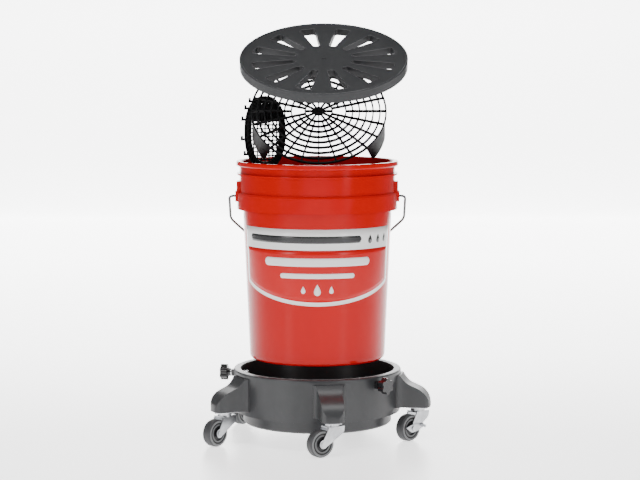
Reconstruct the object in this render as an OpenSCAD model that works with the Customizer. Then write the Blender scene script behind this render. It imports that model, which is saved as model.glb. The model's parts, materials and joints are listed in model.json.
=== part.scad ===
// Wash bucket kit: pail, slotted lid, grit guard and washboard above a wheeled dolly.
// The origin is the centre of the dolly's seat, +Z is up and -Y is the front.

/* [Pail] */
// Height of the pail
pail_h = 369; // [320:1:420]
// Outer radius of the pail's lip
lip_r = 151; // [148:0.5:156]
// Outer radius of the wall at the foot
foot_r = 126.5; // [118:0.5:128]
// Outer radius of the wall under the skirt
waist_r = 138.5; // [136:0.5:140]
// Wall thickness
wall = 2.6; // [2:0.1:3.2]
// Floor thickness
floor_t = 3; // [2:0.1:5]
// Distance from the rim down to the bail's pivot
pivot_drop = 66; // [60:1:72]
// Height of the skirt that stands off the wall
skirt_h = 29; // [22:1:34]
// Thickness of the printed label
label_t = 0.4; // [0.3:0.1:0.8]

/* [Bail] */
// Wire diameter of the bail
wire_d = 4.5; // [3.5:0.1:5.5]
// Distance from the pivot to the middle of the grip
bail_reach = 205; // [195:1:215]
// Half the spread of the bail's side arms
bail_half = 164; // [160:1:172]
// Half the straight length at the middle of the bail
bail_mid = 82; // [76:1:90]
// Length of the side arms before the wire turns inward
bail_side = 72; // [60:1:80]
// Angle of the hanging bail from straight down
bail_rest = 49; // [49:1:60]
// Diameter of the grip
grip_d = 24; // [20:0.5:26]
// Length of the grip
grip_l = 110; // [90:1:130]

/* [Lid] */
// Outer radius of the lid
lid_r = 154.5; // [154:0.5:162]
// Depth of the lid's skirt
lid_skirt = 16; // [12:0.5:18]
// Plate thickness of the lid
lid_t = 3; // [2:0.1:4]
// Depth of the slot walls
slot_depth = 13; // [8:0.5:16]
// Number of slots
slot_count = 12; // [6:1:12]
// Radius where the slots start
slot_in = 53; // [48:1:60]
// Radius where the slots end
slot_out = 133; // [120:1:134]

/* [Grit guard] */
// Radius of the guard
guard_r = 126.5; // [118:0.5:126.5]
// Height of the web's ribs
web_h = 5; // [4:0.5:7]
// Thickness of the web's ribs
web_t = 1.8; // [1.4:0.1:2.4]
// Number of rays in the web
ray_count = 24; // [24:1:24]
// Depth of the guard's legs
leg_h = 52; // [40:1:54]

/* [Washboard] */
// Half the board's width
board_half = 39; // [34:0.5:40]
// Height of the board
board_h = 137; // [120:1:137]
// Thickness of the board
board_t = 7; // [5:0.5:8]
// Pitch of the mesh holes
mesh_pitch = 8; // [7:0.5:10]
// Width of one mesh hole
mesh_hole = 5; // [4:0.5:6]

/* [Dolly] */
// Outer radius of the ring
ring_r = 157; // [155:0.5:162]
// Inner radius of the ring
ring_in = 143; // [141:0.5:145]
// Height of the ring above the seat
ring_h = 98; // [90:1:106]
// Height of the pan's outer step above the seat
step_h = 19; // [15:1:24]
// Outer radius of the lower pan
pan_r = 139; // [134:0.5:140]
// Thickness of the dolly's walls
dolly_wall = 3.5; // [3:0.1:4.5]
// Width of an arm
arm_w = 42; // [42:1:50]
// Radius of the casters' swivel axes
caster_circle = 190; // [186:1:194]

/* [Casters] */
// Wheel diameter
wheel_d = 50; // [46:1:50]
// Wheel width
wheel_w = 18; // [14:0.5:20]
// Height of a caster from the floor to the arm
caster_h = 62; // [62:1:70]
// Distance from the swivel axis to the axle
trail = 26; // [24:0.5:28]
// Axle diameter
axle_d = 6; // [5:0.5:7]
// Radius of a caster's raceway
race_r = 13; // [11:0.5:13]
// Thickness of the fork's metal
fork_t = 2; // [1.5:0.1:2.5]

/* [Clamp screws] */
// Screw diameter
screw_d = 8; // [6:0.5:9]
// Height of the screws above the seat
screw_z = 83; // [78:1:86]
// Radius of the star knob
knob_r = 15; // [12:0.5:18]
// Number of lobes on the knob
lobe_count = 6; // [5:1:8]

/* [Arrangement] */
// Height of the raised pail above the seat
pail_lift = 117; // [100:1:130]
// Height of the raised lid above its closed place
lid_lift = 187; // [175:1:200]
// Tilt of the raised lid
lid_tilt = 24.3; // [20:0.1:26]
// Tilt of the guard
guard_tilt = 47; // [45:0.5:49]

/* [Hidden] */

$fn = 96;
run_fit = 0.05; // radial clearance of a running fit
gap = 0.4; // clearance between faces that pass each other
cut = 1; // how far a cut runs past a face

// Arms and screws are placed by their angle from the front, positive to the right
arm_angles = [8, 80, 152, -136, -64];
headings = [34, 45, 38, 55, 50];
screw_angles = [44, -100, 188];
braked = [2, 4];

// Pail, measured up from its own foot
waist_h = pail_h - 89;
kink_h = 90;
kink_r = foot_r + 3.5;
collar_r = lip_r - 6.5;
skirt_top = waist_h + skirt_h + 2;
skirt_r = lip_r - 2;
skirt_t = 2.2;
ridge_h = pail_h - 24;
pivot_h = pail_h - pivot_drop;
ear_w = 26;
ear_h = 20;
ear_r = lip_r + 1.5;
bore_depth = 10.5;
bend_swell = 0.4;
gusset_count = 24;

// Label band on the tapered wall
label_low = waist_h - 172;
label_high = waist_h - 28;
label_arc = 146;

// Dolly
arm_low_above_seat = 29;
floor_z = arm_low_above_seat - caster_h;
arm_low = floor_z + caster_h;
arm_tip = caster_circle + 24;
arm_root = 140;
flare = 8; // how far an arm widens on each side where it meets the ring

// Casters, measured up from the floor
plate_t = 2;
plate_l = 40;
plate_w = 30;
race_h = 5.2;
crown_z = caster_h - plate_t - race_h - gap;
kingpin_r = 4;
fork_gap = wheel_w + 2.4;
hub_share = 0.34; // hub radius as a share of the wheel diameter
hub_r = wheel_d * hub_share;
axle_half = fork_gap / 2 + fork_t + 1.6;
lever_t = 2.5;
rivet_r = 2;
rivet_x = 16.5;
rivet_head = 1.6;
fork_back = 15;
fork_front = 19;

// Clamp screws, measured outward along the radius
screw_in = pan_r - 7;
block_w = 13;
block_out = ring_r + 7;
knob_in = block_out + 8;
knob_h = 13;
knob_core_share = 0.72; // radius of the knob's core as a share of its radius

// Lid, guard and board in their raised places
lid_low = pail_lift + pail_h + gap;
lid_arm = lid_lift / sin(lid_tilt);
lid_skew = 3.6;
slot_wall = 2.2;
slot_half_in = 7;
slot_half_out = 15;
slot_step = 1.2; // the slot walls end this far under the plate's top face
guard_pos = [2.5, 0, pail_lift + pail_h + 93];
rim_t = 3;
ring_shares = 10; // ring pitches in the guard's radius
ring_pitch = guard_r / ring_shares;
ring_count = 8;
leg_arc = 32;
leg_t = 3;
leg_angles = [-30, -150, 90];
board_pos = [-98, 38, pail_lift + pail_h + 50];
window_share = 0.62; // the parts of the board's height that the mesh window takes
window_top_share = 0.16;
window_mid_share = 0.14;
window_half_share = 0.34;
hook_l = 9;
hook_t = 3;
hook_angles = [124, 142, 163, 188, 213];

function polar(r, a) = [r * sin(a), -r * cos(a)];
function wall_r(h) = h < kink_h
    ? foot_r + (kink_r - foot_r) * h / kink_h
    : kink_r + (waist_r - kink_r) * (h - kink_h) / (waist_h - kink_h);
function arc_points(c, r, a0, a1, n) = [for (i = [0:n])
    c + r * [cos(a0 + (a1 - a0) * i / n), sin(a0 + (a1 - a0) * i / n)]];
function slot_half(r, grow) =
    slot_half_in + (slot_half_out - slot_half_in) * (r - slot_in) / (slot_out - slot_in) + grow;

// A tapered slot along +X with rounded corners, grown by a wall
module slot_outline(grow) {
    c = 5;
    x0 = slot_in - grow;
    x1 = slot_out + grow;
    y0 = slot_half(slot_in, grow);
    y1 = slot_half(slot_out, grow);
    polygon(concat(
        arc_points([x1 - c, y1 - c], c, 0, 84, 4),
        arc_points([x0 + c, y0 - c], c, 96, 180, 4),
        arc_points([x0 + c, c - y0], c, 180, 264, 4),
        arc_points([x1 - c, c - y1], c, 276, 360, 4)
    ));
}

module at_arm(i) {
    p = polar(caster_circle, arm_angles[i - 1]);
    translate([p[0], p[1], floor_z]) rotate([0, 0, headings[i - 1]]) children();
}

// The plates are bolted square to their arms, whichever way the casters point
module under_arm(i) {
    p = polar(caster_circle, arm_angles[i - 1]);
    translate([p[0], p[1], floor_z]) rotate([0, 0, arm_angles[i - 1] - 90]) children();
}

// Local +X points outward along the screw
module at_screw(i) {
    rotate([0, 0, screw_angles[i - 1] - 90]) translate([0, 0, screw_z]) children();
}

module on_pail() {
    translate([0, 0, pail_lift]) children();
}

// Carries a closed lid's frame to its raised, tilted place
module raised_lid() {
    translate([0, -lid_arm, lid_low])
        rotate([0, lid_skew, 0])
        rotate([lid_tilt, 0, 0])
        rotate([0, -lid_skew, 0])
        translate([0, lid_arm, 0])
        children();
}

// The arm's side view, a shoulder that falls in an S from the ring to the tip
arm_side = [[0, 0], [0, 8], [1.5, 14], [5, 21], [10, 27.5], [16, 32.5], [23, 36.5], [30, 39.5],
    [37, 42.5], [43, 46.5], [48, 51.5], [52, 57], [54, 60]];

// Half the arm's plan, flared at the ring and round at the tip
arm_plan = [[arm_root, flare], [156, flare], [159, flare - 2.5], [163, flare - 5], [168, flare - 6.8],
    [174, flare - 7.7], [182, 0], [arm_tip - 14, 0], [arm_tip - 7, -1.5], [arm_tip - 2.5, -5.5],
    [arm_tip, -12]];

module arm() {
    half = arm_w / 2;
    n = len(arm_plan) - 1;
    intersection() {
        rotate([90, 0, 0]) linear_extrude(height = 2 * arm_w, center = true)
            polygon(concat([[arm_root, arm_low]], [for (p = arm_side) [arm_tip - p[0], arm_low + p[1]]],
                [[arm_root, arm_low + arm_side[len(arm_side) - 1][1]]]));
        linear_extrude(height = 2 * ring_h)
            polygon(concat([for (i = [0:n]) [arm_plan[i][0], -half - arm_plan[i][1]]],
                [for (i = [0:n]) [arm_plan[n - i][0], half + arm_plan[n - i][1]]]));
    }
}

module dolly_base() {
    color("#2f3133")
    difference() {
        union() {
            rotate_extrude() polygon([[0, -4], [pan_r - 3, -4], [pan_r, -1], [pan_r, step_h + 3],
                [ring_in + 1, ring_h - 12], [ring_in + 3.5, ring_h - 5], [ring_r - dolly_wall, ring_h - 5],
                [ring_r - dolly_wall - 2, step_h], [ring_r - 2, step_h], [ring_r, ring_h - 4],
                [ring_r - 1.2, ring_h - 1.2], [ring_r - 4, ring_h], [ring_in + 4, ring_h],
                [ring_in + 1.2, ring_h - 1.2], [ring_in, ring_h - 4], [pan_r - dolly_wall, step_h],
                [pan_r - dolly_wall, 0], [0, 0]]);
            for (a = arm_angles) rotate([0, 0, a - 90]) difference() {
                arm();
                translate([0, 0, -cut]) cylinder(r = ring_r - dolly_wall - 1, h = 2 * ring_h);
            }
        }
        for (i = [1:3]) at_screw(i) translate([ring_in - 10, 0, 0])
            rotate([0, 90, 0]) cylinder(d = screw_d + 1, h = 40);
    }
}

module swivel_plate(i) {
    color("#b9bcc0") under_arm(i) difference() {
        union() {
            translate([-plate_l / 2, -plate_w / 2, caster_h - plate_t]) cube([plate_l, plate_w, plate_t]);
            translate([0, 0, caster_h - plate_t - race_h]) cylinder(r = race_r, h = race_h);
            translate([0, 0, crown_z - fork_t - 1]) cylinder(r = kingpin_r, h = race_h + fork_t);
            translate([0, 0, crown_z - fork_t - 2]) cylinder(r = kingpin_r + 2.5, h = 2 - gap);
        }
        for (x = [-rivet_x, rivet_x]) translate([x, 0, caster_h - plate_t - cut])
            cylinder(r = rivet_r + run_fit, h = plate_t + 2 * cut);
    }
}

module plate_rivets() {
    color("#c9ccd0") for (i = [1:5]) under_arm(i) for (x = [-rivet_x, rivet_x])
        translate([x, 0, caster_h - plate_t - rivet_head]) {
            cylinder(r = rivet_r + 1.4, h = rivet_head);
            translate([0, 0, rivet_head]) cylinder(r = rivet_r, h = plate_t);
        }
}

module fork_side() {
    translate([0, fork_t / 2, 0]) rotate([90, 0, 0]) linear_extrude(height = fork_t)
        difference() {
            union() {
                polygon([[-fork_back, crown_z - fork_t], [fork_front, crown_z - fork_t],
                    [fork_front - 1, crown_z - 9], [fork_front - 4, crown_z - 14],
                    [-trail + 6, wheel_d / 2 - 5], [-trail - 8, wheel_d / 2], [-trail, wheel_d / 2 + 8]]);
                translate([-trail, wheel_d / 2]) circle(r = 8);
            }
            translate([-trail, wheel_d / 2]) circle(d = axle_d, $fn = 48);
        }
}

module caster_fork(i) {
    color("#aeb2b6") at_arm(i) {
        difference() {
            union() {
                translate([0, 0, crown_z - fork_t]) cylinder(r = race_r + 1, h = fork_t);
                translate([-fork_back, -fork_gap / 2 - fork_t, crown_z - fork_t])
                    cube([fork_back + fork_front, fork_gap + 2 * fork_t, fork_t]);
                for (s = [-1, 1]) translate([0, s * (fork_gap + fork_t) / 2, 0]) fork_side();
            }
            translate([0, 0, crown_z - fork_t - cut])
                cylinder(r = kingpin_r + run_fit, h = fork_t + 2 * cut);
        }
    }
}

module on_axle(i) {
    at_arm(i) translate([-trail, 0, wheel_d / 2]) rotate([90, 0, 0]) children();
}

module caster_axle(i) {
    extra = (i == braked[0] || i == braked[1]) ? lever_t + gap : 0;
    color("#c9ccd0") on_axle(i) {
        translate([0, 0, -fork_gap / 2 - fork_t]) cylinder(d = axle_d, h = fork_gap + 2 * fork_t + extra);
        translate([0, 0, -axle_half]) cylinder(d = axle_d + 4, h = 1.6);
        translate([0, 0, axle_half - 1.6 + extra]) cylinder(d = axle_d + 4, h = 1.6);
    }
}

module wheel_hub(i) {
    half = wheel_w / 2 - 0.5;
    color("#4a4d50") on_axle(i) rotate_extrude() polygon([[axle_d / 2 + run_fit, -half - 0.9],
        [axle_d / 2 + 3.5, -half - 0.9], [axle_d / 2 + 4, -half + 2.5], [hub_r - 4, -half + 2.5],
        [hub_r - 2, -half], [hub_r, -half], [hub_r, half], [hub_r - 2, half], [hub_r - 4, half - 2.5],
        [axle_d / 2 + 4, half - 2.5], [axle_d / 2 + 3.5, half + 0.9], [axle_d / 2 + run_fit, half + 0.9]]);
}

module wheel_tyre(i) {
    r = wheel_d / 2;
    half = wheel_w / 2;
    color("#8d9093") on_axle(i) rotate_extrude() polygon([[hub_r, -half + 0.5], [hub_r + 1.5, -half],
        [r - 3, -half], [r - 1, -half + 1.2], [r, -half + 3.5], [r, half - 3.5], [r - 1, half - 1.2],
        [r - 3, half], [hub_r + 1.5, half], [hub_r, half - 0.5]]);
}

module brake_lever(i) {
    color("#b9bcc0") on_axle(braked[i - 1]) translate([0, 0, fork_gap / 2 + fork_t + gap / 2])
    difference() {
        union() {
            linear_extrude(height = lever_t) polygon([[-20, 3], [-11, -4], [0, -7], [13, -5], [26, 0],
                [27, 7], [18, 5], [12, 6.5], [0, 7.5], [-9, 6.5]]);
            translate([22, 0.5, 0]) cube([4, 5, lever_t + 7]);
        }
        translate([0, 0, -cut]) cylinder(d = axle_d + 2 * run_fit, h = lever_t + 2 * cut);
    }
}

module clamp_block(i) {
    color("#1b1c1e") at_screw(i) difference() {
        translate([ring_r - 1, -block_w / 2, -block_w / 2]) cube([block_out - ring_r + 1, block_w, block_w]);
        translate([ring_r - 10, 0, 0]) rotate([0, 90, 0]) cylinder(r = screw_d / 2 + run_fit, h = 40);
        translate([0, 0, -screw_z]) rotate_extrude() polygon([[100, 0], [ring_r - 2, step_h],
            [ring_r, ring_h - 4], [ring_r, ring_h + 20], [100, ring_h + 20]]);
    }
}

module clamp_screw(i) {
    color("#d4d7da") at_screw(i) rotate([0, 90, 0]) {
        translate([0, 0, screw_in]) cylinder(r1 = screw_d / 2 - 1.5, r2 = screw_d / 2, h = 1.5);
        translate([0, 0, screw_in + 1.5]) cylinder(d = screw_d, h = knob_in - screw_in + 6.5);
    }
}

module star_knob(i) {
    core = knob_r * knob_core_share;
    color("#17181a") at_screw(i) rotate([0, 90, 0]) difference() {
        union() {
            translate([0, 0, knob_in - 5]) cylinder(r = 7.5, h = 6);
            translate([0, 0, knob_in]) cylinder(r = core + 1, h = knob_h);
            for (a = [0 : 360 / lobe_count : 359]) rotate([0, 0, a]) translate([core, 0, knob_in])
                cylinder(r = knob_r - core, h = knob_h, $fn = 32);
        }
        translate([0, 0, knob_in - 6]) cylinder(d = screw_d, h = 14);
    }
}

module ear_block() {
    translate([waist_r, -ear_w / 2, pivot_h - ear_h / 2]) cube([ear_r - waist_r, ear_w, ear_h]);
    for (y = [-ear_w / 2, ear_w / 2 - 3]) translate([collar_r - 2, y, pivot_h + ear_h / 2 - cut])
        cube([lip_r - 1 - collar_r + 2, 3, 19]);
    translate([collar_r - 2, -ear_w / 2, pivot_h + ear_h / 2 + 15])
        cube([lip_r - 1 - collar_r + 2, ear_w, 3]);
}

module bucket_shell() {
    color("#b5121b") on_pail() difference() {
        union() {
            rotate_extrude($fn = 128) polygon([[0, 0], [foot_r - 9, 0], [foot_r - 4, 1.2], [foot_r - 1, 4.5],
                [foot_r, 9], [kink_r, kink_h], [waist_r, waist_h], [waist_r + 1.5, skirt_top - 5],
                [skirt_r - skirt_t, skirt_top - 5], [skirt_r - skirt_t, waist_h], [skirt_r, waist_h],
                [skirt_r, skirt_top - 3], [skirt_r - 1.5, skirt_top], [collar_r, skirt_top + 1],
                [collar_r, ridge_h - 2], [lip_r - 1.5, ridge_h - 1.5], [lip_r - 1.5, ridge_h + 1.5],
                [collar_r, ridge_h + 2], [collar_r, pail_h - 10], [lip_r - 1, pail_h - 9],
                [lip_r, pail_h - 7], [lip_r, pail_h - 2], [lip_r - 1.5, pail_h],
                [collar_r - wall + 2, pail_h],
                [collar_r - wall, pail_h - 2], [collar_r - wall, skirt_top + 2],
                [waist_r + 1.5 - wall, skirt_top - 5],
                [waist_r - wall, waist_h], [kink_r - wall, kink_h], [foot_r - wall, 12],
                [foot_r - wall - 3, floor_t + 3], [foot_r - wall - 8, floor_t], [0, floor_t]]);
            for (i = [0:gusset_count - 1]) rotate([0, 0, (i + 0.5) * 360 / gusset_count])
                translate([waist_r - 0.5, -1, waist_h + 4])
                cube([skirt_r - skirt_t - waist_r + 1, 2, skirt_top - 5 - waist_h - 3]);
            for (s = [0, 180]) rotate([0, 0, s]) ear_block();
        }
        for (s = [-1, 1]) translate([s * ear_r, 0, pivot_h]) rotate([0, -90 * s, 0])
            translate([0, 0, -cut]) cylinder(d = wire_d + 2 * run_fit, h = bore_depth + cut, $fn = 48);
    }
}

module bucket_label() {
    color("#e9e9e6") on_pail() rotate([0, 0, -90 - label_arc / 2]) rotate_extrude(angle = label_arc)
        translate([run_fit, 0]) polygon([[wall_r(label_low), label_low],
            [wall_r(label_low) + label_t, label_low],
            [wall_r(label_high) + label_t, label_high], [wall_r(label_high), label_high]]);
}

module on_bail() {
    on_pail() translate([0, 0, pivot_h]) rotate([bail_rest, 0, 0]) children();
}

module rod(a, b) {
    v = b - a;
    translate(a) rotate([0, acos(v[2] / norm(v)), atan2(v[1], v[0])])
        cylinder(d = wire_d, h = norm(v), $fn = 48);
}

module bail_wire() {
    color("#4b4d50") on_bail() {
        rod([-bail_mid, 0, -bail_reach], [bail_mid, 0, -bail_reach]);
        for (s = [-1, 1]) {
            rod([s * (ear_r - bore_depth + gap), 0, 0], [s * bail_half, 0, 0]);
            rod([s * bail_half, 0, 0], [s * bail_half, 0, -bail_side]);
            rod([s * bail_half, 0, -bail_side], [s * bail_mid, 0, -bail_reach]);
            translate([s * bail_half, 0, 0]) sphere(d = wire_d + bend_swell, $fn = 48);
            translate([s * bail_half, 0, -bail_side]) sphere(d = wire_d + bend_swell, $fn = 48);
            translate([s * bail_mid, 0, -bail_reach]) sphere(d = wire_d + bend_swell, $fn = 48);
        }
    }
}

module bail_grip() {
    color("#2a2b2d") on_bail() translate([0, 0, -bail_reach]) rotate([0, 90, 0])
        rotate_extrude() polygon([[wire_d / 2 + run_fit, -grip_l / 2], [grip_d / 2 - 2, -grip_l / 2],
            [grip_d / 2, -grip_l / 2 + 3], [grip_d / 2, grip_l / 2 - 3], [grip_d / 2 - 2, grip_l / 2],
            [wire_d / 2 + run_fit, grip_l / 2]]);
}

module lid() {
    rim_in = lip_r + 1.4;
    color("#3a3c3f") raised_lid() difference() {
        union() {
            rotate_extrude($fn = 128) polygon([[0, 0], [rim_in, 0], [rim_in, lid_t - lid_skirt],
                [lid_r - 0.4, lid_t - lid_skirt], [lid_r - 0.4, lid_t - 2], [lid_r, lid_t - 1.5],
                [lid_r, lid_t + 0.6], [lid_r - 1, lid_t + 1.4], [lid_r - 3, lid_t + 1.4],
                [lid_r - 4.5, lid_t],
                [4, lid_t], [3, lid_t + 1.2], [0, lid_t + 1.5]]);
            for (i = [0:slot_count - 1]) rotate([0, 0, (i + 0.5) * 360 / slot_count])
                translate([0, 0, lid_t - slot_depth])
                linear_extrude(height = slot_depth - slot_step) slot_outline(slot_wall);
        }
        for (i = [0:slot_count - 1]) rotate([0, 0, (i + 0.5) * 360 / slot_count])
            translate([0, 0, lid_t - slot_depth - cut])
            linear_extrude(height = slot_depth + 2 * cut) slot_outline(0);
    }
}

// One cell between two rings and two rays, a quarter round of 360 / ray_count
module web_cell(r0, r1, a0, a1) {
    e = web_t / 2;
    polygon([
        [r0 * cos(a0) - e * sin(a0), r0 * sin(a0) + e * cos(a0)],
        [r1 * cos(a0) - e * sin(a0), r1 * sin(a0) + e * cos(a0)],
        [r1 * cos(a1) + e * sin(a1), r1 * sin(a1) - e * cos(a1)],
        [r0 * cos(a1) + e * sin(a1), r0 * sin(a1) - e * cos(a1)]
    ]);
}

module grit_guard() {
    step = 360 / ray_count;
    color("#141516") translate(guard_pos) rotate([guard_tilt, 0, 0]) {
        difference() {
            translate([0, 0, -web_h]) cylinder(r = guard_r, h = web_h, $fn = 128);
            translate([0, 0, -web_h - cut]) linear_extrude(height = web_h + 2 * cut)
                for (i = [0:ray_count - 1], k = [0:ring_count]) {
                    finger = (i == 0 || i == ray_count - 1 || i == ray_count / 2 - 1 || i == ray_count / 2);
                    r0 = ring_pitch * (k == 0 ? 0.85 : k + 1) + web_t / 2;
                    r1 = k == ring_count ? guard_r - rim_t : ring_pitch * (k + 2) - web_t / 2;
                    if (!(finger && (k == 1 || k == 2))) web_cell(r0, r1, i * step, (i + 1) * step);
                }
            for (s = [0, 180]) rotate([0, 0, s]) translate([0, 0, -web_h - cut])
                linear_extrude(height = web_h + 2 * cut)
                web_cell(2 * ring_pitch + web_t / 2, 4 * ring_pitch - web_t / 2, -step, step);
        }
        for (a = leg_angles) rotate([0, 0, a - leg_arc / 2]) translate([0, 0, -leg_h])
            rotate_extrude(angle = leg_arc) translate([guard_r - leg_t - 0.2, 0]) square([leg_t, leg_h - 1]);
    }
}

// The board's oval outline in its own plane, grown by g
function board_point(g, a) = let (c = cos(a), s = sin(a))
    [(board_half + g) * sign(c) * pow(abs(c), 0.85), (board_h / 2 + g) * sign(s) * pow(abs(s), 0.85)];
function board_outline(g, n) = [for (i = [0:n - 1]) board_point(g, 360 * i / n)];

module washboard() {
    rows = floor((board_h * window_share) / mesh_pitch);
    color("#141516") translate(board_pos) rotate([90, 0, 0]) {
        difference() {
            translate([0, 0, -board_t / 2]) linear_extrude(height = board_t) polygon(board_outline(0, 48));
            translate([0, 0, board_t / 2 - 1.5]) linear_extrude(height = 5) polygon(board_outline(-4, 48));
            translate([0, 0, -board_t / 2 - cut]) linear_extrude(height = board_t + 2 * cut)
                for (j = [0:rows - 1], k = [-3:3]) {
                    x = k * mesh_pitch;
                    y = board_h * window_top_share - j * mesh_pitch;
                    up = (y + board_h * window_mid_share) / (board_h * window_half_share);
                    if (pow(x / (board_half - 9), 2) + pow(up, 2) < 1)
                        translate([x, y]) square(mesh_hole, center = true);
                }
        }
        for (a = hook_angles) let (p = board_point(0, a))
            translate([p[0], p[1], 0]) {
                translate([-hook_l + 2, -hook_t / 2, -hook_t / 2]) cube([hook_l, hook_t, hook_t]);
                translate([-hook_l + 2, -hook_t / 2, -hook_t / 2]) cube([hook_t, hook_t * 2, hook_t]);
            }
    }
}

dolly_base();
plate_rivets();
bucket_shell();
bucket_label();
bail_wire();
bail_grip();
lid();
grit_guard();
washboard();
for (i = [1:5]) swivel_plate(i);
for (i = [1:5]) caster_fork(i);
for (i = [1:5]) caster_axle(i);
for (i = [1:5]) wheel_hub(i);
for (i = [1:5]) wheel_tyre(i);
for (i = [1:3]) clamp_block(i);
for (i = [1:3]) clamp_screw(i);
for (i = [1:3]) star_knob(i);
for (i = [1:2]) brake_lever(i);
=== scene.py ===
import json
import math
import bmesh
import bpy
from mathutils import Matrix, Vector


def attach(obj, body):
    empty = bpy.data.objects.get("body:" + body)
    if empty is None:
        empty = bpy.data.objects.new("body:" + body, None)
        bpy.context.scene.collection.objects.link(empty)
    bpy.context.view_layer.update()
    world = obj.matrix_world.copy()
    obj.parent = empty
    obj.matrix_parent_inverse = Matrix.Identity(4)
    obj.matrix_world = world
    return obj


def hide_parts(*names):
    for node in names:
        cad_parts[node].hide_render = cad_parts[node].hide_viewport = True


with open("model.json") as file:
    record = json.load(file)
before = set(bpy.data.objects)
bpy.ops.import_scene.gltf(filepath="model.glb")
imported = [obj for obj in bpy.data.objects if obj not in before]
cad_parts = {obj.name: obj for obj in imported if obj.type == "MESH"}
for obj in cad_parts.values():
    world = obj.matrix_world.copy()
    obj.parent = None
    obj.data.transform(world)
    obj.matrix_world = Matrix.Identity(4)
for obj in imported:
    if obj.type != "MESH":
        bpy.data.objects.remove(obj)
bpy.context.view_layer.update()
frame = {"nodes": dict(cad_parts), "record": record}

print("stage: frame loaded")

mm = 0.001


def opaque(r, g, b):
    return (r, g, b, 1.0)


# materials

def node(tree, kind, **values):
    n = tree.nodes.new(kind)
    for key, value in values.items():
        setattr(n, key, value)
    return n


def noise(tree, coords, scale, detail, rough, stretch):
    place = node(tree, "ShaderNodeMapping")
    place.inputs["Scale"].default_value = stretch
    n = node(tree, "ShaderNodeTexNoise")
    n.inputs["Scale"].default_value = scale
    n.inputs["Detail"].default_value = detail
    n.inputs["Roughness"].default_value = rough
    tree.links.new(coords, place.inputs["Vector"])
    tree.links.new(place.outputs["Vector"], n.inputs["Vector"])
    return n.outputs["Fac"]


def ramp(tree, fac, stops):
    r = node(tree, "ShaderNodeValToRGB")
    while len(r.color_ramp.elements) < len(stops):
        r.color_ramp.elements.new(0.5)
    for element, (place, colour) in zip(r.color_ramp.elements, stops):
        element.position = place
        element.color = colour
    tree.links.new(fac, r.inputs["Fac"])
    return r.outputs["Color"]


def spread(tree, fac, low, high):
    m = node(tree, "ShaderNodeMapRange")
    m.inputs["To Min"].default_value = low
    m.inputs["To Max"].default_value = high
    tree.links.new(fac, m.inputs["Value"])
    return m.outputs["Result"]


surface = {"blotchDetail": 5.0, "grainDetail": 3.0, "noiseRough": 0.6, "darkAt": 0.3, "lightAt": 0.7,
           "coatRough": 0.08, "bumpReach": 0.4 * mm}


# One surface: two close tones, uneven roughness and a fine grain in the bump.
def finish(name, dark, light, rough, grain, bump,
           metallic=0.0, coat=0.0, stretch=(1, 1, 1), coarse=9.0, gloss=0.5):
    mat = bpy.data.materials.new(name)
    mat.use_nodes = True
    tree = mat.node_tree
    shader = tree.nodes["Principled BSDF"]
    coords = node(tree, "ShaderNodeTexCoord").outputs["Object"]
    blotch = noise(tree, coords, coarse, surface["blotchDetail"], surface["noiseRough"], stretch)
    fine = noise(tree, coords, grain, surface["grainDetail"], surface["noiseRough"], stretch)
    stops = [(surface["darkAt"], opaque(*dark)), (surface["lightAt"], opaque(*light))]
    tone = ramp(tree, blotch, stops)
    tree.links.new(tone, shader.inputs["Base Color"])
    tree.links.new(spread(tree, fine, rough[0], rough[1]), shader.inputs["Roughness"])
    shader.inputs["Metallic"].default_value = metallic
    shader.inputs["Specular IOR Level"].default_value = gloss
    shader.inputs["Coat Weight"].default_value = coat
    shader.inputs["Coat Roughness"].default_value = surface["coatRough"]
    lump = node(tree, "ShaderNodeBump")
    lump.inputs["Strength"].default_value = bump
    lump.inputs["Distance"].default_value = surface["bumpReach"]
    tree.links.new(fine, lump.inputs["Height"])
    tree.links.new(lump.outputs["Normal"], shader.inputs["Normal"])
    return mat


finishes = {
    "dolly_plastic": finish("satinDollyPlastic", (0.022, 0.023, 0.025), (0.031, 0.032, 0.034),
                            (0.30, 0.44), 500, 0.12, coarse=14),
    "zinc": finish("zincPlate", (0.42, 0.43, 0.45), (0.66, 0.67, 0.69),
                   (0.22, 0.4), 400, 0.12, metallic=1.0, coarse=60),
    "chrome": finish("screwChrome", (0.70, 0.71, 0.72), (0.84, 0.85, 0.86),
                     (0.07, 0.16), 300, 0.05, metallic=1.0, coarse=50),
    "tyre_rubber": finish("greyTyre", (0.030, 0.031, 0.033), (0.048, 0.049, 0.052),
                          (0.46, 0.62), 700, 0.3, coarse=30),
    "hub_plastic": finish("darkHub", (0.012, 0.012, 0.013), (0.022, 0.022, 0.024),
                          (0.35, 0.5), 800, 0.2, coarse=25),
    "black_plastic": finish("glossBlack", (0.006, 0.006, 0.007), (0.011, 0.011, 0.012),
                            (0.12, 0.24), 500, 0.06, coat=0.4, coarse=25),
    "red_plastic": finish("pailRed", (0.44, 0.0002, 0.0005), (0.52, 0.0004, 0.001),
                          (0.13, 0.22), 160, 0.05, stretch=(1, 1, 0.15), coarse=6, gloss=0.2),
    "wire_steel": finish("bailSteel", (0.06, 0.061, 0.064), (0.11, 0.112, 0.116),
                         (0.3, 0.45), 600, 0.12, metallic=0.6, coarse=40),
    "grip_plastic": finish("gripPlastic", (0.012, 0.012, 0.013), (0.02, 0.02, 0.022),
                           (0.4, 0.55), 900, 0.3, coarse=25),
    "lid_plastic": finish("lidPlastic", (0.020, 0.021, 0.023), (0.028, 0.029, 0.031),
                          (0.34, 0.48), 700, 0.15, coarse=14, gloss=0.35),
    "insert_plastic": finish("insertBlack", (0.006, 0.006, 0.007), (0.011, 0.011, 0.012),
                             (0.5, 0.64), 700, 0.18, coarse=20, gloss=0.15),
}
print("stage: materials made")

# surfaces of the CAD nodes, also of those that a piece below replaces

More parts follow.
